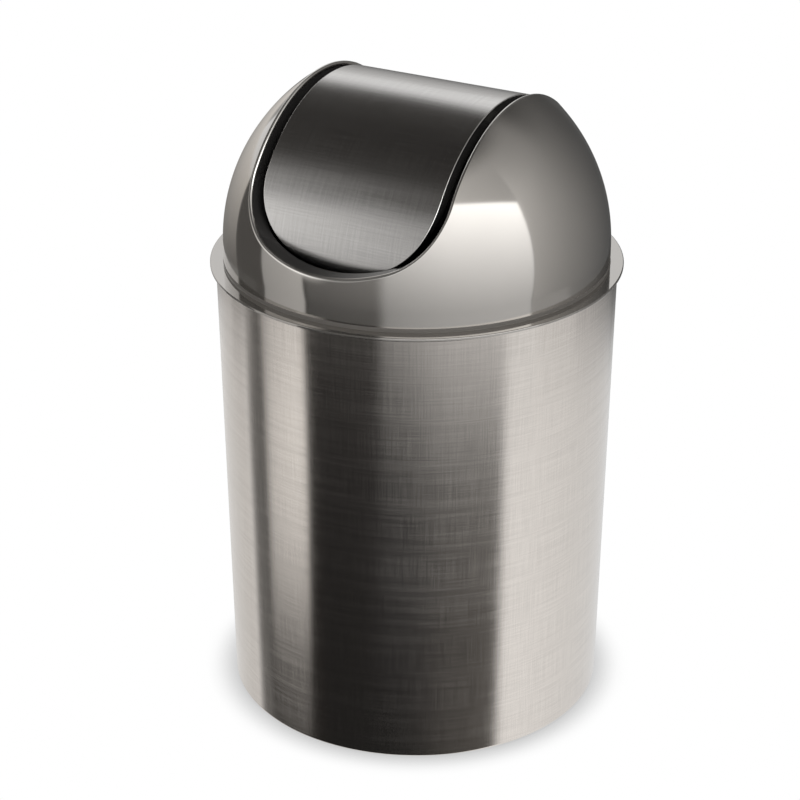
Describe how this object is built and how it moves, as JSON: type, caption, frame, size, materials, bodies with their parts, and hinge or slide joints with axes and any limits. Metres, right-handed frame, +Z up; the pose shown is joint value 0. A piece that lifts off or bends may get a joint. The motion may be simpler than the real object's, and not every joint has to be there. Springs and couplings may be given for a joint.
{
  "type": "countertop trash can",
  "caption": "Small round tapered steel waste can with a lift-off dome lid that rests on its rim by a flat ledge, slotted front to back for a barrel-shaped flap that swings on side pivots.",
  "frame": {"origin": "middle of the foot, on the surface that the can stands on", "axes": "+Z up along the can's axis; -Y towards the front; X along the flap's swing axis, +X to the right seen from the front"},
  "size_m": [0.146, 0.146, 0.2301],
  "materials": {
    "can_steel": "fine crosswise brushing, warm nickel tone",
    "base_steel": "plain mill finish",
    "pad_rubber": "matte foam rubber",
    "dome_plastic": "metallised, polished, warm nickel tone",
    "black_plastic": "glossy black moulding",
    "bush_plastic": "natural nylon",
    "bright_steel": "bright zinc-plated",
    "flap_steel": "fine crosswise brushing with a polished edge"
  },
  "bodies": {
    "can": {"can_shell": "can_steel", "can_base": "base_steel", "foot_pads": "pad_rubber"},
    "lid": {"lid_dome": "dome_plastic", "lid_frame": "black_plastic", "cheek_left": "black_plastic", "cheek_right": "black_plastic", "pivot_bush_left": "bush_plastic", "pivot_bush_right": "bush_plastic", "frame_screws": "bright_steel", "cheek_screws": "bright_steel"},
    "flap": {"flap_skin": "flap_steel", "flap_tray": "black_plastic", "pivot_pin_left": "bright_steel", "pivot_pin_right": "bright_steel"}
  },
  "joints": [
    {"name": "lid_lift", "type": "slide", "parent": "can", "child": "lid", "axis": [0, 0, 1], "range_m": [0, 0.08]},
    {"name": "flap_swing", "type": "hinge", "parent": "lid", "child": "flap", "pos_m": [0, 0, 0.22023], "axis": [1, 0, 0], "range_deg": [-75, 75]}
  ]
}
